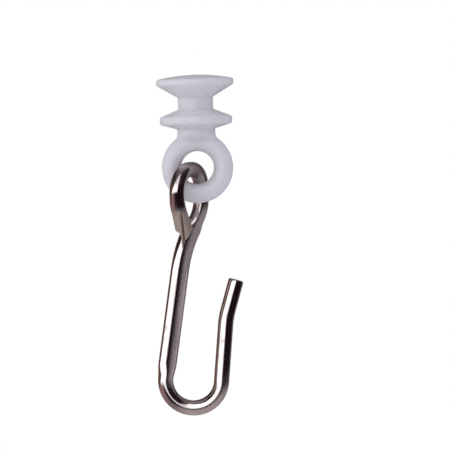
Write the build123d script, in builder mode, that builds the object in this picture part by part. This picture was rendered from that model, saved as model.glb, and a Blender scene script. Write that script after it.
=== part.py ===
"""A curtain-track carrier: a one-piece nylon glider with a ring under it, and the plated wire hook
linked through the ring.

Millimetres. +Z is up. The origin is the middle of the glider's neck, on its axis, where the lips of
the track run. The ring lies in the XZ plane, so its axis is along Y.
"""
import os
from math import cos, radians, sin, tan

from build123d import *

# ---- overall sizes -----------------------------------------------------------------------------------
head_diameter = 11.11  # 7/16 inch over the head, which runs inside the track
drop_length = 41.275  # 1 5/8 inches from under the lower flange to the bottom of the hook

# ---- the nylon glider, heights from the middle of the neck -------------------------------------------
dome_top = 4.12
head_edge_top, head_edge_bottom = 3.5, 2.68
head_edge_round = 0.32
neck_diameter = 5.06
neck_top, neck_bottom = 0.88, -0.86  # the straight part of the neck, between the two cones
flange_diameter = 10.4
flange_edge_top, flange_edge_bottom = -1.92, -2.94
flange_edge_round = 0.4
flange_underside = -3.66  # where the underside of the flange meets the stem
stem_diameter = 5.46
corner_round = 0.2  # in the inside corners of the neck and the stem

ring_centre_z = -9.22
ring_outer_diameter = 10.24
ring_hole_diameter = 4.7
shoulder_top, shoulder_bottom = -4.3, -5.9  # the round stem flattens into the ring between these
shoulder_width, shoulder_thickness = 6.4, 2.5  # where it is lost inside the ring

# ---- the wire hook -----------------------------------------------------------------------------------
wire_diameter = 2.2

eye_middle = Vector(-1.33, -0.47, -12.4)  # inside the eye, level with the wire of the ring it holds
eye_turn = 60.75  # degrees from the ring's plane to the eye's plane
eye_lean = 11  # degrees, top to the front
eye_half_width = 3.48  # from the eye's middle to the middle of the wire
eye_top_height = 2.97  # from the eye's middle to the middle of the wire
eye_top_radius = 2.95
front_leg_length = 2.1  # below the eye's middle the free side runs straight this far, then closes in
front_leg_radius = 6.0
back_leg_length = 2.9  # below the eye's middle the other side runs straight this far
back_leg_radius = 4.2

end_centre = Vector(-1.87, -2.6, -19.35)  # the nipped end of the wire, in front of the shank
end_width, end_thickness = 2.64, 1.83  # the wire is pressed wider towards its nipped end
end_blend = 3.9  # length over which it widens
nib_middle, nib_width, nib_length = -0.4, 0.6, 1.1  # the blunt nib that the cut leaves, left of centre
nip_left, nip_right = 1.6, 1.2  # height of the cut's slopes on the two sides of the wire

shank_corner = Vector(-2.5, 0, -20.82)  # the eye runs into the line of the straight shank here
shank_corner_radius = 11.0
shank_lean = 9.4  # degrees, bottom to the left
shank_width, shank_thickness = 2.7, 1.8  # the neck and the shank are pressed slightly flat
neck_flat, neck_round = 3.2, 5.1  # up the neck from the shank's corner, where it is flat and where round
shank_flat, shank_round = 16.2, 18.4  # the same down the shank

bend_radius = 4.02
bend_gap = 0.02  # a short straight at the bottom of the bend
free_lean = 5.9  # degrees, top to the right
flare_corner_z = -30.9  # the free end opens outwards from here
flare_radius = 12.0
tip = (5.04, 0, -25.55)
tip_edge_round = 0.25

close_enough = 0.01  # for picking edges by their size

os.makedirs("parts", exist_ok=True)

# ---- carrier: head, neck, lower flange, stem and ring in one moulding --------------------------------
ring_tube_radius = (ring_outer_diameter - ring_hole_diameter) / 4
ring_radius = (ring_outer_diameter + ring_hole_diameter) / 4  # to the middle of the ring's section
head_radius, neck_radius = head_diameter / 2, neck_diameter / 2
flange_radius, stem_radius = flange_diameter / 2, stem_diameter / 2

with BuildPart() as carrier:
    with BuildSketch(Plane.XZ):
        with BuildLine():
            dome_edge = (head_radius, head_edge_top)
            TangentArc((0, dome_top), dome_edge, tangent=(1, 0))
            Polyline(
                dome_edge,
                (head_radius, head_edge_bottom),
                (neck_radius, neck_top),
                (neck_radius, neck_bottom),
                (flange_radius, flange_edge_top),
                (flange_radius, flange_edge_bottom),
                (stem_radius, flange_underside),
                (stem_radius, shoulder_top),
                (0, shoulder_top),
                (0, dome_top),
            )
        make_face()
    revolve(axis=Axis.Z)
    circles = carrier.edges().filter_by(GeomType.CIRCLE)
    fillet(circles.filter_by(lambda edge: abs(edge.radius - head_radius) < close_enough), head_edge_round)
    circles = carrier.edges().filter_by(GeomType.CIRCLE)
    fillet(circles.filter_by(lambda edge: abs(edge.radius - flange_radius) < close_enough), flange_edge_round)
    circles = carrier.edges().filter_by(GeomType.CIRCLE)
    fillet(circles.filter_by(lambda edge: abs(edge.radius - neck_radius) < close_enough), corner_round)
    circles = carrier.edges().filter_by(GeomType.CIRCLE)
    under_flange = circles.filter_by(lambda edge: abs(edge.arc_center.Z - flange_underside) < close_enough)
    fillet(under_flange, corner_round)
    # the stem narrows from round to the ring's thickness
    with BuildSketch(Plane.XY.offset(shoulder_top)):
        Circle(stem_radius)
    with BuildSketch(Plane.XY.offset(shoulder_bottom)):
        Ellipse(shoulder_width / 2, shoulder_thickness / 2)
    loft()
    with BuildSketch(Plane.XY.offset(ring_centre_z)):
        with Locations((ring_radius, 0)):
            Circle(ring_tube_radius)
    revolve(axis=Axis((0, 0, ring_centre_z), (0, 1, 0)))
carrier.part.label = "carrier"
export_step(carrier.part, "parts/carrier.step")

# ---- hook: eye, shank, bend and free end in one length of wire ---------------------------------------
eye_across = Vector(cos(radians(eye_turn)), sin(radians(eye_turn)), 0) * eye_half_width
eye_up = Vector(0, -sin(radians(eye_lean)), cos(radians(eye_lean)))
front_corner = eye_middle - eye_across - eye_up * front_leg_length
back_corner = eye_middle + eye_across - eye_up * back_leg_length

end_up = (front_corner - end_centre).normalized()
end_across = Vector(0, 1, 0).cross(end_up).normalized()
end_round = end_centre + end_up * end_blend

# the flattened section's wide side faces the front along the shank, and turns with the neck
shank_up = Vector(sin(radians(shank_lean)), 0, cos(radians(shank_lean)))
shank_across = Vector(shank_up.Z, 0, -shank_up.X)
neck_up = (back_corner - shank_corner).normalized()
neck_turn = Axis((0, 0, 0), shank_up.cross(neck_up))
neck_across = shank_across.rotate(neck_turn, shank_up.get_angle(neck_up))
shank_foot = shank_corner - shank_up * shank_flat
bend_top = shank_corner - shank_up * shank_round

# the bend is one half turn, drawn as two corners on a line along its bottom
free_up = Vector(sin(radians(free_lean)), 0, cos(radians(free_lean)))
bend_bottom = flange_underside - drop_length + wire_diameter / 2
bend_left = shank_corner - shank_up * ((shank_corner.Z - bend_bottom) / shank_up.Z)
bend_width = tan(radians(45 + shank_lean / 2)) + tan(radians(45 - free_lean / 2))
bend_right = bend_left + Vector(bend_radius * bend_width + bend_gap, 0, 0)
flare_corner = bend_right + free_up * ((flare_corner_z - bend_bottom) / free_up.Z)

with BuildPart() as hook:
    # the free side of the eye, wide at its nipped end and round above
    with BuildSketch(Plane(origin=end_centre, x_dir=end_across, z_dir=end_up)):
        Ellipse(end_width / 2, end_thickness / 2)
    with BuildSketch(Plane(origin=end_round, x_dir=end_across, z_dir=end_up)):
        Circle(wire_diameter / 2)
    loft()

    with BuildLine() as eye_line:
        FilletPolyline(
            end_round,
            front_corner,
            eye_middle - eye_across + eye_up * eye_top_height,
            eye_middle + eye_across + eye_up * eye_top_height,
            back_corner,
            shank_corner + neck_up * neck_round,
            radius=[front_leg_radius, eye_top_radius, eye_top_radius, back_leg_radius],
        )
    with BuildSketch(Plane(origin=end_round, z_dir=end_up)):
        Circle(wire_diameter / 2)
    sweep(path=eye_line.line)

    # the neck turns from round to flat
    with BuildSketch(Plane(origin=shank_corner + neck_up * neck_round, x_dir=neck_across, z_dir=neck_up)):
        Circle(wire_diameter / 2)
    with BuildSketch(Plane(origin=shank_corner + neck_up * neck_flat, x_dir=neck_across, z_dir=neck_up)):
        Ellipse(shank_width / 2, shank_thickness / 2)
    loft()

    with BuildLine() as shank_line:
        FilletPolyline(
            shank_foot,
            shank_corner,
            shank_corner + neck_up * neck_flat,
            radius=shank_corner_radius,
        )
    with BuildSketch(Plane(origin=shank_foot, x_dir=shank_across, z_dir=shank_up)):
        Ellipse(shank_width / 2, shank_thickness / 2)
    sweep(path=shank_line.line)

    # the foot of the shank turns round again for the bend
    with BuildSketch(Plane(origin=shank_foot, x_dir=shank_across, z_dir=shank_up)):
        Ellipse(shank_width / 2, shank_thickness / 2)
    with BuildSketch(Plane(origin=bend_top, x_dir=shank_across, z_dir=shank_up)):
        Circle(wire_diameter / 2)
    loft()

    with BuildLine() as bend_line:
        FilletPolyline(
            bend_top,
            bend_left,
            bend_right,
            flare_corner,
            tip,
            radius=[bend_radius, bend_radius, flare_radius],
        )
    with BuildSketch(Plane(origin=bend_top, z_dir=-shank_up)):
        Circle(wire_diameter / 2)
    sweep(path=bend_line.line)
    fillet(hook.edges().filter_by(GeomType.CIRCLE).sort_by_distance(tip)[0], tip_edge_round)

    # the nipped end, cut from front to back: a nib under a short shoulder, and one long slope
    nib_left, nib_right = nib_middle - nib_width / 2, nib_middle + nib_width / 2
    with BuildSketch(Plane(origin=end_centre, x_dir=end_across, z_dir=end_across.cross(end_up))):
        with BuildLine():
            Polyline(
                (nib_left, 0),
                (nib_left, nib_length),
                (-end_width / 2, nip_left),
                (-end_width, nip_left),
                (-end_width, 0),
                close=True,
            )
        make_face()
        with BuildLine():
            Polyline(
                (nib_right, 0),
                (end_width / 2, nip_right),
                (end_width, nip_right),
                (end_width, 0),
                close=True,
            )
        make_face()
    extrude(amount=end_thickness, both=True, mode=Mode.SUBTRACT)
hook.part.label = "hook"
export_step(hook.part, "parts/hook.step")
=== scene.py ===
import bpy
import numpy as np
from math import cos, pi, radians, sin, tan
from mathutils import Euler, Matrix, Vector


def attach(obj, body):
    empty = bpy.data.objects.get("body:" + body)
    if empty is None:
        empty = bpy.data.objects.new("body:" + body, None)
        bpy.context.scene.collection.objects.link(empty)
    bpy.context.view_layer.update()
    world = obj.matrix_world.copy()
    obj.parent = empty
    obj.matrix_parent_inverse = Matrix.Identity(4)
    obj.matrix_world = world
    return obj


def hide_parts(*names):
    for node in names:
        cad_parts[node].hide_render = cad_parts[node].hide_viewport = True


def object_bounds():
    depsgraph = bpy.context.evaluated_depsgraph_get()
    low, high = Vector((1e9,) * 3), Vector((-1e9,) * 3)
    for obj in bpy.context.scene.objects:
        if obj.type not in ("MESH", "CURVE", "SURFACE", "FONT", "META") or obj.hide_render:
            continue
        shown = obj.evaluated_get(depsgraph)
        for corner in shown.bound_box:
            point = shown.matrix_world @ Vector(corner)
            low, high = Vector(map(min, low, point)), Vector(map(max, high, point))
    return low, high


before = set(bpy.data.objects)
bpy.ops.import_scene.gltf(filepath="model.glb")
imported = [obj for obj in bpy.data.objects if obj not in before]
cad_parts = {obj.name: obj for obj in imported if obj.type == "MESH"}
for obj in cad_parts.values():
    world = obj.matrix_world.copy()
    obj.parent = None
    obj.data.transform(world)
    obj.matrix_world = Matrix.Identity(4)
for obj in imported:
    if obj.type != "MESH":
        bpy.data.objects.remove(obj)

cadLow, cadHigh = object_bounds()
mm = 0.001
print("frame loaded:", sorted(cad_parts))


# ---------- mesh helpers ----------

def meshFromGrid(name, grid, closeAround=True, lowPole=True, highPole=True):
    # grid[i, j] is a point at station i along the shape and step j around it. Each square of
    # neighbours becomes one face, and each open end is closed by a fan to the middle of its ring.
    rows, columns = grid.shape[:2]
    index = np.arange(rows * columns).reshape(rows, columns)
    following = np.roll(index, -1, axis=1) if closeAround else index[:, 1:]
    here = index if closeAround else index[:, :-1]
    quads = np.stack([here[:-1], following[:-1], following[1:], here[1:]], axis=-1).reshape(-1, 4)
    points = grid.reshape(-1, 3)
    faces = [quads.tolist()]
    if lowPole:
        points = np.vstack([points, grid[0].mean(axis=0)])
        pole = np.full(columns, len(points) - 1)
        faces.append(np.stack([following[0], here[0], pole], axis=-1).tolist())
    if highPole:
        points = np.vstack([points, grid[-1].mean(axis=0)])
        pole = np.full(columns, len(points) - 1)
        faces.append(np.stack([here[-1], following[-1], pole], axis=-1).tolist())
    mesh = bpy.data.meshes.new(name)
    mesh.from_pydata(points.tolist(), [], [face for group in faces for face in group])
    mesh.validate()
    mesh.polygons.foreach_set("use_smooth", np.ones(len(mesh.polygons), dtype=bool))
    mesh.update()
    return mesh


def addPiece(name, mesh, body, material):
    piece = bpy.data.objects.new(name, mesh)
    bpy.context.scene.collection.objects.link(piece)
    piece.data.materials.append(material)
    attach(piece, body)
    return piece


def unit(vectors):
    return vectors / np.linalg.norm(vectors, axis=-1, keepdims=True)


def turned(vector, axis, angles):
    # Rodrigues: v cos t + (axis x v) sin t + axis (axis . v)(1 - cos t), for an array of angles.
    t = np.asarray(angles)[:, None]
    return vector * np.cos(t) + np.cross(axis, vector) * np.sin(t) + axis * (axis @ vector) * (1 - np.cos(t))


def roundedPath(corners, radii, stations, firstSide=(1.0, 0.0, 0.0)):
    # Straight runs between the corners, with each inner corner replaced by an arc of its radius that
    # touches both runs: an arc point is start + radius * (inward (1 - cos t) + arriving sin t). The
    # side direction is carried along, turning only with the arcs. Stations are lengths from the start.
    side = np.array(firstSide)
    points, sides = [corners[0][None]], [side[None]]
    for before, corner, after, radius in zip(corners[:-2], corners[1:-1], corners[2:], radii):
        arriving, leaving = unit(corner - before), unit(after - corner)
        turn = np.arccos(np.clip(arriving @ leaving, -1, 1))
        start = corner - arriving * radius * tan(turn / 2)
        inward = unit(leaving - arriving * (arriving @ leaving))
        t = np.linspace(0, turn, 64)
        points.append(start + radius * (inward * (1 - np.cos(t))[:, None] + arriving * np.sin(t)[:, None]))
        sides.append(turned(side, np.cross(arriving, inward), t))
        side = sides[-1][-1]
    points, sides = np.vstack(points + [corners[-1][None]]), np.vstack(sides + [side[None]])
    length = np.concatenate([[0], np.cumsum(np.linalg.norm(np.diff(points, axis=0), axis=1))])
    stations = np.asarray(stations) if np.ndim(stations) else np.arange(0, length[-1], stations)
    stations = np.append(stations[stations < length[-1] - 0.01], length[-1])
    path = np.stack([np.interp(stations, length, points[:, axis]) for axis in range(3)], axis=1)
    side = np.stack([np.interp(stations, length, sides[:, axis]) for axis in range(3)], axis=1)
    along = unit(np.gradient(path, stations, axis=0))
    side = unit(side - along * (side * along).sum(axis=1, keepdims=True))
    return path, stations, along, side


def smoothStep(edge0, edge1, x):
    t = np.clip((x - edge0) / (edge1 - edge0), 0, 1)
    return t * t * (3 - 2 * t)


# ---------- node helpers ----------

def newMaterial(name):
    material = bpy.data.materials.new(name)
    material.use_nodes = True
    material.node_tree.nodes.clear()
    return material, material.node_tree


def addNode(tree, kind, inputs=None, **settings):
    node = tree.nodes.new(kind)
    for key, value in settings.items():
        setattr(node, key, value)
    for key, value in (inputs or {}).items():
        if isinstance(value, bpy.types.NodeSocket):
            tree.links.new(value, node.inputs[key])
        else:
            node.inputs[key].default_value = value
    return node


def mathNode(tree, operation, first, second=0.0, third=None, clamp=False):
    inputs = {0: first, 1: second}
    if third is not None:
        inputs[2] = third
    return addNode(tree, "ShaderNodeMath", inputs, operation=operation, use_clamp=clamp).outputs[0]


def rampNode(tree, factor, stops):
    ramp = addNode(tree, "ShaderNodeValToRGB", {"Fac": factor})
    elements = ramp.color_ramp.elements
    for element, (position, colour) in zip(elements, stops):
        element.position = position
        element.color = (*colour, 1)
    return ramp.outputs["Color"]


def mixColour(tree, factor, first, second):
    mix = addNode(tree, "ShaderNodeMix", {"Factor": factor}, data_type="RGBA")
    for socket, value in ((mix.inputs[6], first), (mix.inputs[7], second)):
        if isinstance(value, bpy.types.NodeSocket):
            tree.links.new(value, socket)
        else:
            socket.default_value = (*value, 1)
    return mix.outputs[2]


# ---------- materials ----------

nylonLook = {
    "colour": (0.80, 0.79, 0.83),
    "thinColour": (0.86, 0.85, 0.88),
    "roughness": 0.3,
    "scatter": 0.35,
    "scatterRadius": (1.2 * mm, 1.0 * mm, 0.95 * mm),
    "seamWidth": 0.05 * mm,
    "cloudScale": 260.0, "flowScale": 900.0, "grainScale": 6500.0,
}


def makeNylon(look):
    material, tree = newMaterial("mouldedNylon")
    place = addNode(tree, "ShaderNodeTexCoord").outputs["Object"]
    cloud = addNode(tree, "ShaderNodeTexNoise", {"Vector": place, "Scale": look["cloudScale"], "Detail": 3.0})
    grain = addNode(tree, "ShaderNodeTexNoise", {"Vector": place, "Scale": look["grainScale"], "Detail": 2.0})
    flow = addNode(tree, "ShaderNodeTexNoise", {"Vector": place, "Scale": look["flowScale"], "Detail": 4.0})
    colour = mixColour(tree, cloud.outputs["Fac"], look["colour"], look["thinColour"])
    rough = addNode(tree, "ShaderNodeMapRange", {
        "Value": flow.outputs["Fac"], "From Min": 0.3, "From Max": 0.7,
        "To Min": look["roughness"] - 0.06, "To Max": look["roughness"] + 0.08})
    # the mould's parting line is a fine ridge where Y is zero
    depth = addNode(tree, "ShaderNodeSeparateXYZ", {0: place}).outputs["Y"]
    ridge = mathNode(tree, "DIVIDE", depth, look["seamWidth"])
    ridge = mathNode(tree, "POWER", mathNode(tree, "ABSOLUTE", ridge), 2.0)
    ridge = mathNode(tree, "EXPONENT", mathNode(tree, "MULTIPLY", ridge, -1.0))
    height = mathNode(tree, "MULTIPLY_ADD", flow.outputs["Fac"], 0.5, ridge)
    height = mathNode(tree, "MULTIPLY_ADD", grain.outputs["Fac"], 0.12, height)
    bump = addNode(tree, "ShaderNodeBump", {"Height": height, "Strength": 0.35, "Distance": 0.02 * mm})
    shader = addNode(tree, "ShaderNodeBsdfPrincipled", {
        "Base Color": colour, "Roughness": rough.outputs[0], "Normal": bump.outputs[0], "IOR": 1.53,
        "Subsurface Weight": look["scatter"], "Subsurface Radius": look["scatterRadius"],
        "Subsurface Scale": 1.0, "Specular IOR Level": 0.5})
    addNode(tree, "ShaderNodeOutputMaterial", {"Surface": shader.outputs[0]})
    return material


nickelLook = {
    "colour": (0.76, 0.71, 0.70),
    "tarnish": (0.36, 0.28, 0.23),
    "pressedColour": (0.58, 0.47, 0.40),
    # near-black painted into the crease of the pressed end: painted shade
    "creaseShadeColour": (0.10, 0.06, 0.035),
    "roughness": 0.09,
    "pressedRoughness": 0.42,
    # lighter and less metallic on the wire's right side and on the bend's underside: a painted reflection
    "paintedReflectionColour": (0.95, 0.81, 0.77),
    # rubbed wear over the eye's top, and painted shade down the left side of the far leg
    "rubbedAndShadeColour": (0.40, 0.33, 0.32),
    "lineScale": 5200.0, "streakScale": 1300.0, "blotchScale": 700.0, "pitScale": 1500.0,
}


def makeNickel(look):
    material, tree = newMaterial("platedWire")

    def attribute(name, output):
        return addNode(tree, "ShaderNodeAttribute", attribute_name=name).outputs[output]

    def noise(place, scale, detail):
        inputs = {"Vector": place, "Scale": scale, "Detail": detail}
        return addNode(tree, "ShaderNodeTexNoise", inputs).outputs["Fac"]

    wire = attribute("wireSpace", "Vector")
    worn = attribute("worn", "Fac")
    creaseShade = attribute("creaseShade", "Fac")
    rubbedAndShade = attribute("rubbedAndShade", "Fac")
    paintedReflection = attribute("paintedReflection", "Fac")
    # fine lines and longer streaks run along the wire, because their pattern is stretched that way
    drawn = addNode(tree, "ShaderNodeMapping", {"Vector": wire, "Scale": (1.0, 1.0, 0.03)}).outputs[0]
    lines = noise(drawn, look["lineScale"], 4.0)
    broad = addNode(tree, "ShaderNodeMapping", {"Vector": wire, "Scale": (1.0, 1.0, 0.12)}).outputs[0]
    streak = noise(broad, look["streakScale"], 5.0)
    blotch = noise(wire, look["blotchScale"], 6.0)
    cells = addNode(tree, "ShaderNodeTexVoronoi", {"Vector": wire, "Scale": look["pitScale"]})
    pits = cells.outputs["Distance"]
    stain = rampNode(tree, blotch, [(0.45, (0, 0, 0)), (0.72, (1, 1, 1))])
    streaked = rampNode(tree, streak, [(0.42, (0, 0, 0)), (0.7, (1, 1, 1))])
    stain = mathNode(tree, "MULTIPLY", stain, streaked)
    matt = mathNode(tree, "MULTIPLY", worn, mathNode(tree, "MULTIPLY_ADD", streak, 0.8, 0.5), clamp=True)
    colour = mixColour(tree, stain, look["colour"], look["tarnish"])
    paintedReflection = mathNode(tree, "MULTIPLY", paintedReflection, mathNode(tree, "MULTIPLY_ADD", streak, 0.8, 0.5), clamp=True)
    rubbedAndShade = mathNode(tree, "MULTIPLY", rubbedAndShade, mathNode(tree, "MULTIPLY_ADD", blotch, 1.6, 0.0), clamp=True)
    # the stripe's lighter, less metallic colour is a painted reflection
    colour = mixColour(tree, paintedReflection, colour, look["paintedReflectionColour"])
    # rubbed wear over the eye's top; on the far leg's left side the same darkening is painted shade over its
    # highlight
    colour = mixColour(tree, rubbedAndShade, colour, look["rubbedAndShadeColour"])
    colour = mixColour(tree, matt, colour, look["pressedColour"])
    # the crease is painted near-black: painted shade
    colour = mixColour(tree, creaseShade, colour, look["creaseShadeColour"])
    rough = mathNode(tree, "MULTIPLY_ADD", lines, 0.08, look["roughness"] - 0.04)
    rough = mathNode(tree, "MULTIPLY_ADD", stain, 0.22, rough)
    rough = mathNode(tree, "MULTIPLY_ADD", matt, look["pressedRoughness"], rough)
    rough = mathNode(tree, "MULTIPLY_ADD", rubbedAndShade, 0.2, rough)
    rough = mathNode(tree, "MULTIPLY_ADD", paintedReflection, 0.25, rough)
    metal = mathNode(tree, "MULTIPLY_ADD", paintedReflection, -0.38, 1.0)
    metal = mathNode(tree, "MULTIPLY_ADD", matt, -0.45, metal)
    pit = addNode(tree, "ShaderNodeMapRange", {
        "Value": pits, "From Min": 0.0, "From Max": 0.16, "To Min": -1.0, "To Max": 0.0}).outputs[0]
    height = mathNode(tree, "MULTIPLY_ADD", streak, 0.8, lines)
    height = mathNode(tree, "MULTIPLY_ADD", pit, 0.5, height)
    height = mathNode(tree, "MULTIPLY", height, mathNode(tree, "MULTIPLY_ADD", worn, 3.0, 1.0))
    bump = addNode(tree, "ShaderNodeBump", {"Height": height, "Strength": 0.22, "Distance": 0.01 * mm})
    shader = addNode(tree, "ShaderNodeBsdfPrincipled", {
        "Base Color": colour, "Roughness": rough, "Normal": bump.outputs[0], "Metallic": metal})
    addNode(tree, "ShaderNodeOutputMaterial", {"Surface": shader.outputs[0]})
    return material


nylon = makeNylon(nylonLook)
nickel = makeNickel(nickelLook)
print("materials made")

# ---------- the glider ----------

glider = {
    "dome": 4.12, "headRadius": 5.555, "headTop": 3.5, "headBottom": 2.68, "headRound": 0.32,
    "neckRadius": 2.53, "neckTop": 0.88, "neckBottom": -0.86, "cornerRound": 0.2,
    "flangeRadius": 5.2, "flangeTop": -1.92, "flangeBottom": -2.94, "flangeRound": 0.4,
    "underFlange": -3.66, "stemRadius": 2.73, "shoulderTop": -4.3, "shoulderBottom": -5.9,
    "shoulderWidth": 3.2, "shoulderDepth": 1.25,
    "ringMiddle": -9.22, "ringOuter": 5.12, "ringHole": 2.35,
    "around": 192, "finest": 0.1, "smoothing": 8, "outlineStep": 0.01, "shoulderBlend": 0.25,
}


def spoolOutline(size):
    # The half outline from the dome's top to the stem: a shallow arc for the dome, then straight
    # cones whose corners are rounded as arcs.
    r, z = size["headRadius"], size["headTop"]
    rise = size["dome"] - z
    sphere = (r * r + rise * rise) / (2 * rise)
    domeReach = np.linspace(0.02, r - size["headRound"], 24)
    domeHeight = size["dome"] - sphere + np.sqrt(sphere ** 2 - domeReach ** 2)
    dome = np.stack([domeReach, 0 * domeReach, domeHeight], axis=1)
    corners = np.array([
        dome[-1], (r, 0, z), (r, 0, size["headBottom"]), (size["neckRadius"], 0, size["neckTop"]),
        (size["neckRadius"], 0, size["neckBottom"]), (size["flangeRadius"], 0, size["flangeTop"]),
        (size["flangeRadius"], 0, size["flangeBottom"]), (size["stemRadius"], 0, size["underFlange"]),
        (size["stemRadius"], 0, size["shoulderTop"])])
    edge, corner, rim = size["headRound"], size["cornerRound"], size["flangeRound"]
    path = roundedPath(corners, [edge, edge, corner, corner, rim, rim, corner], 0.07)[0]
    return np.vstack([dome[:-1], path])


def makeSpool(size):
    # Each station of the outline is a circle. Below the stem the circle turns into an ellipse that
    # is wide along X and thin along Y, by the smooth step of its depth, and ends inside the ring.
    outline = spoolOutline(size)
    depth = np.linspace(0, 1, 16)[1:]
    blend = depth * depth * (3 - 2 * depth)
    low = size["shoulderTop"] + depth * (size["shoulderBottom"] - size["shoulderTop"])
    stem = size["stemRadius"]
    wide = np.concatenate([outline[:, 0], stem + blend * (size["shoulderWidth"] - stem)])
    thin = np.concatenate([outline[:, 0], stem + blend * (size["shoulderDepth"] - stem)])
    height = np.concatenate([outline[:, 2], low])
    angle = np.linspace(0, 2 * pi, size["around"], endpoint=False)
    grid = np.stack([
        wide[:, None] * np.cos(angle), thin[:, None] * np.sin(angle),
        np.repeat(height[:, None], size["around"], axis=1)], axis=-1)
    return meshFromGrid("spool", grid[::-1] * mm)


def makeRing(size):
    # A torus about Y: the tube's circle, of half the ring's thickness, carried round the ring.
    tube = (size["ringOuter"] - size["ringHole"]) / 2
    middle = (size["ringOuter"] + size["ringHole"]) / 2
    turn = np.linspace(0, 2 * pi, size["around"], endpoint=False)[:, None]
    angle = np.linspace(0, 2 * pi, 96, endpoint=False)[None]
    reach = middle + tube * np.cos(angle)
    across, high = reach * np.sin(turn), size["ringMiddle"] + reach * np.cos(turn)
    grid = np.stack([across, tube * np.sin(angle) + 0 * turn, high], axis=-1)
    grid = np.vstack([grid, grid[:1]])
    return meshFromGrid("ring", grid * mm, lowPole=False, highPole=False)


def joinSolids(name, meshes, voxel, smoothing):
    # The solids are put in one mesh and become one skin on a fine grid of cubes, and a few smoothing
    # passes round off the line where they met, as in a moulding.
    holders = [bpy.data.objects.new(name, mesh) for mesh in meshes]
    for holder in holders:
        bpy.context.scene.collection.objects.link(holder)
    with bpy.context.temp_override(active_object=holders[0], selected_editable_objects=holders):
        bpy.ops.object.join()
    holder = holders[0]
    remesh = holder.modifiers.new("skin", "REMESH")
    remesh.mode, remesh.voxel_size, remesh.use_smooth_shade = "VOXEL", voxel, True
    soften = holder.modifiers.new("soften", "SMOOTH")
    soften.factor, soften.iterations = 0.5, smoothing
    graph = bpy.context.evaluated_depsgraph_get()
    result = bpy.data.meshes.new_from_object(holder.evaluated_get(graph))
    bpy.data.objects.remove(holder)
    result.polygons.foreach_set("use_smooth", np.ones(len(result.polygons), dtype=bool))
    result.name = name
    return result


def trueUp(mesh, size):
    # The fine skin is stepped by its cubes. Above the shoulder each point goes to the nearest point
    # of the turned outline, and below it each point goes to the torus, along the torus's own radius.
    # The shading normals there are the outline's and the torus's own, so no step shows in the gloss.
    points = np.empty(len(mesh.vertices) * 3)
    mesh.vertices.foreach_get("co", points)
    points = points.reshape(-1, 3) / mm
    normals = np.empty(len(mesh.vertices) * 3)
    mesh.vertex_normals.foreach_get("vector", normals)
    normals = normals.reshape(-1, 3)
    outline = spoolOutline(size)[:, [0, 2]]
    length = np.concatenate([[0], np.cumsum(np.linalg.norm(np.diff(outline, axis=0), axis=1))])
    dense = np.arange(0, length[-1], size["outlineStep"])
    dense = np.stack([np.interp(dense, length, outline[:, axis]) for axis in range(2)], axis=1)
    slope = unit(np.gradient(dense, axis=0))
    spool = points[:, 2] > size["shoulderTop"] + size["shoulderBlend"]
    flat = np.stack([np.hypot(points[spool, 0], points[spool, 1]), points[spool, 2]], axis=1)
    blocks = np.array_split(flat, 60)  # keeps the table of distances small
    nearest = [np.argmin(((block[:, None] - dense[None]) ** 2).sum(axis=2), axis=1) for block in blocks]
    nearest = np.concatenate(nearest)
    scale = dense[nearest, 0] / np.maximum(flat[:, 0], 1e-6)
    nearMiddle = flat[:, 0] < 0.05
    scale[nearMiddle] = 1
    points[spool] = np.stack([points[spool, 0] * scale, points[spool, 1] * scale, dense[nearest, 1]], axis=1)
    outward = points[spool, :2] / np.maximum(np.hypot(points[spool, 0], points[spool, 1]), 1e-6)[:, None]
    normals[spool] = np.column_stack([outward * -slope[nearest, 1:], slope[nearest, 0]])
    tube = (size["ringOuter"] - size["ringHole"]) / 2
    middle = (size["ringOuter"] + size["ringHole"]) / 2
    centre = np.stack([points[:, 0], 0 * points[:, 0], points[:, 2] - size["ringMiddle"]], axis=1)
    centre = unit(centre) * middle + np.array((0, 0, size["ringMiddle"]))
    onTorus = centre + unit(points - centre) * tube
    share = 1 - smoothStep(size["shoulderBottom"] - 0.9, size["shoulderBottom"] - 0.3, points[:, 2])[:, None]
    normals = unit(normals * (1 - share) + unit(points - centre) * share)
    points = points * (1 - share) + onTorus * share
    mesh.vertices.foreach_set("co", (points * mm).ravel())
    mesh.update()
    mesh.normals_split_custom_set_from_vertices(normals.tolist())


gliderSolids = [makeSpool(glider), makeRing(glider)]
gliderMesh = joinSolids("gliderMoulding", gliderSolids, glider["finest"] * mm, glider["smoothing"])
trueUp(gliderMesh, glider)
gliderPiece = addPiece("gliderMoulding", gliderMesh, "carrier", nylon)
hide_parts("carrier")
print("glider made:", len(gliderMesh.polygons), "faces")

# ---------- the hook ----------

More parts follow.
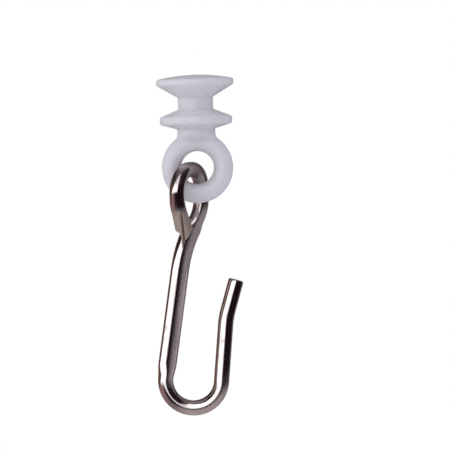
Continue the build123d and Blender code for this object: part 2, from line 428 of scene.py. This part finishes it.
hook = {
    "wire": 2.2, "around": 96, "step": 0.1, "endStep": 0.03, "endFine": 2.0,
    "eyeMiddle": (-1.33, -0.47, -12.4), "eyeTurn": 60.75, "eyeLean": 11, "eyeHalfWidth": 3.48,
    "eyeTopHeight": 2.97, "eyeTopRadius": 2.95, "frontLeg": 2.1, "frontLegRadius": 6.0,
    "backLegShade": 2.9, "backLegRadius": 4.2,
    "end": (-1.87, -2.6, -19.35), "endWidth": 2.64, "endThickness": 1.83, "endBlend": 3.9,
    "nibMiddle": -0.4, "nibWidth": 0.6, "nibLength": 1.1, "nipLeft": 1.6, "nipRight": 1.2,
    "creaseTop": 0.38, "creaseFoot": -0.36, "creaseLength": 4.6, "creaseDepth": 0.13, "creaseWidth": 0.16,
    "shankCorner": (-2.5, 0, -20.82), "shankCornerRadius": 11.0, "shankLean": 9.4,
    "shankWidth": 2.7, "shankThickness": 1.8, "shankTurn": 17, "neckFlat": 3.2, "neckRound": 5.1,
    "shankFlat": 16.4, "shankRound": 18.9,
    "bendBottom": -3.66 - 41.275 + 1.1, "bendRadius": 4.02, "bendGap": 0.02,
    "freeLean": 5.9, "flareCorner": -30.9, "flareRadius": 12.0, "tip": (5.04, 0, -25.55), "tipRound": 0.25,
    # the far leg's range at the end of this line is where its left side gets painted shade
    "creaseFade": 1.6, "twistFrom": 5.0, "rubbedFrom": 7.2, "rubbedTo": 15.5, "backLegShadeRange": (23.0, 25.0),
    # where the painted reflection stripe starts and ends along the wire, and which side of it the stripe
    # covers
    "paintedReflectionTop": 8.2, "paintedReflectionFoot": 21.0, "paintedReflectionSide": (0.1, 0.65), "paintedReflectionEdge": (0.85, 1.0),
}


def hookCorners(size):
    lean, free = radians(size["shankLean"]), radians(size["freeLean"])
    turn, tilt = radians(size["eyeTurn"]), radians(size["eyeLean"])
    middle = np.array(size["eyeMiddle"])
    across = np.array((cos(turn), sin(turn), 0)) * size["eyeHalfWidth"]
    up = np.array((0, -sin(tilt), cos(tilt)))
    shank = np.array(size["shankCorner"], dtype=float)
    down = np.array((-sin(lean), 0, -cos(lean)))
    freeUp = np.array((sin(free), 0, cos(free)))
    bendLeft = shank + down * (size["bendBottom"] - shank[2]) / down[2]
    bendWidth = size["bendRadius"] * (tan(pi / 4 + lean / 2) + tan(pi / 4 - free / 2)) + size["bendGap"]
    bendRight = bendLeft + np.array((bendWidth, 0, 0))
    flare = bendRight + freeUp * (size["flareCorner"] - size["bendBottom"]) / freeUp[2]
    return np.array([
        size["end"], middle - across - up * size["frontLeg"], middle - across + up * size["eyeTopHeight"],
        middle + across + up * size["eyeTopHeight"], middle + across - up * size["backLegShade"],
        shank, bendLeft, bendRight, flare, size["tip"]], dtype=float)


def makeHook(size):
    # The wire's section is an ellipse carried along the path. It is round but for two stretches,
    # where a smooth step makes it wider and thinner: the nipped end, and the neck with the shank.
    corners = hookCorners(size)
    radii = [size["frontLegRadius"], size["eyeTopRadius"], size["eyeTopRadius"], size["backLegRadius"],
             size["shankCornerRadius"], size["bendRadius"], size["bendRadius"], size["flareRadius"]]
    fine = np.arange(0, size["endFine"], size["endStep"])
    stations = np.concatenate([fine, np.arange(size["endFine"], 200, size["step"])])
    endUp = unit(corners[1] - corners[0])
    path, length, along, side = roundedPath(corners, radii, stations, unit(np.cross((0, 1, 0), endUp)))
    # the side carried from the end is turned on the way down the eye, to lie across the shank
    shankCorner, neckUp = corners[5], unit(corners[4] - corners[5])
    nearest = np.argmin(np.linalg.norm(path - shankCorner, axis=1))
    shankDown = unit(corners[6] - corners[5])
    below = np.argmax(length > length[nearest] + 6)
    wanted = np.cross(shankDown, (0, 1, 0))
    miss = np.arctan2(np.cross(side[below], wanted) @ along[below], side[below] @ wanted)
    twist = miss * smoothStep(size["twistFrom"], length[nearest] - size["neckRound"], length)[:, None]
    side = side * np.cos(twist) + np.cross(along, side) * np.sin(twist)

    before = np.arange(len(path)) < nearest
    upNeck = np.where(before, (path - shankCorner) @ neckUp, 0)
    upNeck = np.where(length < length[nearest] - 9, size["neckRound"], upNeck)
    downShank = np.where(before, 0, (path - shankCorner) @ shankDown)
    pressed = 1 - smoothStep(size["neckFlat"], size["neckRound"], upNeck)
    pressed *= 1 - smoothStep(size["shankFlat"], size["shankRound"], length - length[nearest])
    pressed = np.where(before, pressed, np.where(downShank < 0, 0, pressed))
    endPressed = 1 - np.clip(length / size["endBlend"], 0, 1)
    tilt = (-pressed * radians(size["shankTurn"]))[:, None]
    side = side * np.cos(tilt) + np.cross(along, side) * np.sin(tilt)
    front = np.cross(side, along)
    fromCorner = length - length[nearest]
    half = size["wire"] / 2
    wide = half + pressed * (size["shankWidth"] / 2 - half)
    wide = wide + endPressed * (size["endWidth"] / 2 - half)
    thin = half + pressed * (size["shankThickness"] / 2 - half)
    thin = thin + endPressed * (size["endThickness"] / 2 - half)

    # the tip's cut edge is rounded: the last stations shrink along a quarter circle
    edge = size["tipRound"]
    keep = length < length[-1] - edge
    t = np.linspace(0, pi / 2, 8)[1:]
    extra = length[-1] - edge + edge * np.sin(t)
    rim = half - edge * (1 - np.cos(t))
    path = np.vstack([path[keep], path[-1] + along[-1] * (extra - length[-1])[:, None]])
    side = np.vstack([side[keep], np.repeat(side[-1:], len(t), axis=0)])
    front = np.vstack([front[keep], np.repeat(front[-1:], len(t), axis=0)])
    wide, thin = np.concatenate([wide[keep], rim])[:, None], np.concatenate([thin[keep], rim])[:, None]
    length = np.concatenate([length[keep], extra])[:, None]

    angle = np.linspace(0, 2 * pi, size["around"], endpoint=False)
    offset, depth = wide * np.cos(angle), thin * np.sin(angle)
    wireSpace = np.stack(np.broadcast_arrays(offset, depth, length), axis=-1)

    # the cutter left a shallow crease down the front of the pressed end
    down = np.clip(length / size["creaseLength"], 0, 1)
    creaseMiddle = size["creaseFoot"] + down * (size["creaseTop"] - size["creaseFoot"])
    crease = np.exp(-((offset - creaseMiddle) / size["creaseWidth"]) ** 2) * (depth > 0)
    creaseEnd = size["creaseLength"]
    crease = crease * (1 - smoothStep(creaseEnd - size["creaseFade"], creaseEnd, length))
    depth = depth - crease * np.minimum(size["creaseDepth"], np.maximum(depth, 0) * 0.4)

    # and it closed in from both sides: a shoulder and a nib on the left, one slope on the right
    nibLeft, nibRight = size["nibMiddle"] - size["nibWidth"] / 2, size["nibMiddle"] + size["nibWidth"] / 2
    shoulder = np.clip((length - size["nibLength"]) / (size["nipLeft"] - size["nibLength"]), 0, 1)
    slope = np.clip(length / size["nipRight"], 0, 1)
    lowest = nibLeft + shoulder * (-wide - nibLeft)
    highest = nibRight + slope * (wide - nibRight)
    offset = np.clip(offset, lowest, highest)

    grid = path[:, None] + offset[..., None] * side[:, None] + depth[..., None] * front[:, None]
    mesh = meshFromGrid("wireHook", grid * mm)
    mesh.set_sharp_from_angle(angle=radians(38))
    ends = [wireSpace[0].mean(axis=0), wireSpace[-1].mean(axis=0)]
    attribute = mesh.attributes.new("wireSpace", "FLOAT_VECTOR", "POINT")
    attribute.data.foreach_set("vector", (np.vstack([wireSpace.reshape(-1, 3), ends]) * mm).ravel())
    # worn is 1 on the matt, pressed end. The crease mask is 1 in its crease, and the near-black painted there
    # is painted shade.
    # The next mask is 1 over the eye's top, which is rubbed wear, and down the left of its far leg, where it
    # is painted shade over that side's highlight. The stripe mask is 1 on surfaces facing right along the
    # neck and shank, and on the front of the bend's
    # underside, facing down: its lighter, less metallic colour is a painted reflection.
    worn = 1 - smoothStep(size["creaseLength"] - 1.3, size["creaseLength"] + 0.5, length + 0 * offset)
    rubbedAndShade = smoothStep(size["rubbedFrom"], size["rubbedFrom"] + 2, length + 0 * offset)
    rubbedAndShade = rubbedAndShade * (1 - smoothStep(size["rubbedTo"] - 2, size["rubbedTo"], length))
    sideways, forwards = (wireSpace[..., 0] / wide)[..., None], (wireSpace[..., 1] / thin)[..., None]
    outward = sideways * side[:, None] + forwards * front[:, None]
    toRight, toFront, toTop = outward[..., 0], -outward[..., 1], outward[..., 2]
    # painted shade: the far leg's left-facing side is darkened where its highlight would be
    backLegShade = smoothStep(size["rubbedTo"] - 2, size["rubbedTo"], length) * smoothStep(-0.1, 0.25, -toRight)
    backLegShade = backLegShade * (1 - smoothStep(*size["backLegShadeRange"], length))
    rubbedAndShade = np.maximum(rubbedAndShade, backLegShade)
    # painted reflection: a stripe on surfaces facing right along the neck and shank, and on the front of the
    # bend's underside, facing down
    paintedReflection = smoothStep(*size["paintedReflectionSide"], toRight) * (1 - 0.85 * smoothStep(*size["paintedReflectionEdge"], toRight))
    beyond = np.concatenate([fromCorner[keep], fromCorner[-1] + 0 * t])[:, None]
    paintedReflection = paintedReflection * smoothStep(-size["paintedReflectionTop"], 2 - size["paintedReflectionTop"], beyond)
    paintedReflection = paintedReflection * (1 - smoothStep(size["paintedReflectionFoot"] - 3, size["paintedReflectionFoot"], beyond))
    bend = smoothStep(size["paintedReflectionFoot"] + 1, size["paintedReflectionFoot"] + 4, beyond)
    bend = bend * (1 - smoothStep(size["paintedReflectionFoot"] + 9, size["paintedReflectionFoot"] + 13, beyond))
    paintedReflection = np.maximum(paintedReflection, bend * smoothStep(-0.05, 0.3, -toTop) * smoothStep(-0.2, 0.3, toFront))
    for name, values in (("worn", worn), ("creaseShade", crease), ("rubbedAndShade", rubbedAndShade), ("paintedReflection", paintedReflection)):
        attribute = mesh.attributes.new(name, "FLOAT", "POINT")
        attribute.data.foreach_set("value", np.append(values.ravel(), [values[0].mean(), 0]))
    return mesh


hookMesh = makeHook(hook)
hookPiece = addPiece("wireHook", hookMesh, "hook", nickel)
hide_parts("hook")
print("hook made:", len(hookMesh.polygons), "faces")

# ---------- floor, light and camera ----------

studio = {
    "viewWidth": 64.75, "distance": 620.0, "roll": 1.86, "elevation": 2.0, "centre": (3.68, 0, -17.62),
    "floorDrop": 110.0, "floorSize": 900.0, "floorColour": (0.93, 0.93, 0.94),
}


def makeFloor(settings):
    # A flat square, well below the hook.
    reach = settings["floorSize"]
    low = cadLow[2] / mm - settings["floorDrop"]
    across = np.linspace(-reach, reach, 9)
    depth = np.linspace(-reach, reach, 9)
    grid = np.stack(np.broadcast_arrays(across[None], depth[:, None], low), axis=-1)
    mesh = meshFromGrid("floor", grid * mm, closeAround=False, lowPole=False, highPole=False)
    floor = bpy.data.objects.new("floor", mesh)
    bpy.context.scene.collection.objects.link(floor)
    material, tree = newMaterial("palePaper")
    place = addNode(tree, "ShaderNodeTexCoord").outputs["Object"]
    fibre = addNode(tree, "ShaderNodeTexNoise", {"Vector": place, "Scale": 40.0, "Detail": 4.0})
    bump = addNode(tree, "ShaderNodeBump", {
        "Height": fibre.outputs["Fac"], "Strength": 0.05, "Distance": 0.1 * mm})
    shader = addNode(tree, "ShaderNodeBsdfPrincipled", {
        "Base Color": (*settings["floorColour"], 1), "Roughness": 0.9, "Normal": bump.outputs[0]})
    addNode(tree, "ShaderNodeOutputMaterial", {"Surface": shader.outputs[0]})
    mesh.materials.append(material)
    floor.visible_glossy = False
    return floor


studioLight = {
    # directions in degrees: bearing 0 is straight in front and rises to the right. Each pair is where
    # a change begins and where it is complete.
    "boxBearing": -37, "boxHalfWidth": 40, "boxLean": 0.73, "boxTaper": 0.4, "boxEdge": (0.86, 1.14),
    "boxTop": (68, 48), "boxFoot": (-13, -1), "brownBearing": (-60, -95), "brownHeight": (35, 15),
    "greyBearing": (98, 130), "leftBearing": (-25, -70), "leftHeight": (-6, -16),
    "ceilingHeight": (46, 64), "tableHeight": (-26, -42),
    "box": (1.6, 1.6, 1.62), "dark": (0.012, 0.005, 0.009), "brown": (0.13, 0.068, 0.052),
    "grey": (0.13, 0.11, 0.115), "table": (0.21, 0.165, 0.165), "tableLeft": (0.30, 0.18, 0.19),
    "ceiling": (0.2, 0.16, 0.165), "skyLeft": (1.05, 1.05, 1.08), "skyRight": (0.55, 0.54, 0.60),
    "skyTop": (0.62, 0.62, 0.67), "skyAcross": (-0.9, 0.9), "skyBelow": (-0.2, -0.9), "skyAbove": (0.2, 0.9),
}


def makeWorld(light):
    world = bpy.data.worlds.new("studio")
    bpy.context.scene.world = world
    world.use_nodes = True
    tree = world.node_tree
    tree.nodes.clear()
    ray = addNode(tree, "ShaderNodeLightPath")
    direction = addNode(tree, "ShaderNodeTexCoord").outputs["Generated"]
    axes = addNode(tree, "ShaderNodeSeparateXYZ", {0: direction})
    toCamera = mathNode(tree, "MULTIPLY", axes.outputs["Y"], -1.0)
    bearing = mathNode(tree, "DEGREES", mathNode(tree, "ARCTAN2", axes.outputs["X"], toCamera))
    height = mathNode(tree, "DEGREES", mathNode(tree, "ARCSINE", axes.outputs["Z"]))

    def between(value, low, high):
        return addNode(tree, "ShaderNodeMapRange", {
            "Value": value, "From Min": low, "From Max": high}, interpolation_type="SMOOTHSTEP").outputs[0]

    # what polished metal sees: a leaning soft box, dark room, table below and ceiling above
    boxMiddle = mathNode(tree, "MULTIPLY_ADD", height, light["boxLean"], light["boxBearing"])
    boxHalf = mathNode(tree, "MULTIPLY_ADD", height, -light["boxTaper"], light["boxHalfWidth"])
    away = mathNode(tree, "DIVIDE", mathNode(tree, "SUBTRACT", bearing, boxMiddle), boxHalf)
    inBox = mathNode(tree, "SUBTRACT", 1.0, between(mathNode(tree, "ABSOLUTE", away), *light["boxEdge"]))
    inBox = mathNode(tree, "MULTIPLY", inBox, between(height, *light["boxTop"]))
    inBox = mathNode(tree, "MULTIPLY", inBox, between(height, *light["boxFoot"]))
    leftSide = between(bearing, *light["brownBearing"])
    leftSide = mathNode(tree, "MULTIPLY", leftSide, between(height, *light["brownHeight"]))
    room = mixColour(tree, leftSide, light["dark"], light["brown"])
    room = mixColour(tree, between(bearing, *light["greyBearing"]), room, light["grey"])
    leftTable = between(bearing, *light["leftBearing"])
    leftTable = mathNode(tree, "MULTIPLY", leftTable, between(height, *light["leftHeight"]))
    room = mixColour(tree, leftTable, room, light["tableLeft"])
    room = mixColour(tree, between(height, *light["ceilingHeight"]), room, light["ceiling"])
    room = mixColour(tree, between(height, *light["tableHeight"]), room, light["table"])
    polished = mixColour(tree, inBox, room, light["box"])
    # what lights the nylon: brightest from the left, and weaker from above and below
    toTheRight = between(axes.outputs["X"], *light["skyAcross"])
    soft = mixColour(tree, toTheRight, light["skyLeft"], light["skyRight"])
    soft = mixColour(tree, between(axes.outputs["Z"], *light["skyBelow"]), soft, light["skyRight"])
    soft = mixColour(tree, between(axes.outputs["Z"], *light["skyAbove"]), soft, light["skyTop"])
    look = mixColour(tree, ray.outputs["Is Glossy Ray"], soft, polished)
    look = mixColour(tree, ray.outputs["Is Camera Ray"], look, (1.0, 1.0, 1.0))
    background = addNode(tree, "ShaderNodeBackground", {"Color": look, "Strength": 1.0})
    addNode(tree, "ShaderNodeOutputWorld", {"Surface": background.outputs[0]})


def makeCamera(settings):
    camera = bpy.data.cameras.new("camera")
    cameraObject = bpy.data.objects.new("camera", camera)
    bpy.context.scene.collection.objects.link(cameraObject)
    distance = settings["distance"] * mm
    tilt, roll = radians(settings["elevation"]), radians(settings["roll"])
    camera.sensor_width = 36.0
    camera.lens = camera.sensor_width * settings["distance"] / settings["viewWidth"]
    camera.clip_start, camera.clip_end = 0.01, 10.0
    centre = np.array(settings["centre"]) * mm
    cameraObject.location = centre + np.array((0, -cos(tilt), sin(tilt))) * distance
    facing = Euler((pi / 2 - tilt, 0, 0)).to_matrix() @ Matrix.Rotation(-roll, 3, "Z")
    cameraObject.rotation_euler = facing.to_euler()
    bpy.context.scene.camera = cameraObject


floor = makeFloor(studio)
makeWorld(studioLight)
makeCamera(studio)
bpy.context.scene.view_settings.view_transform = "Standard"
print("studio made")
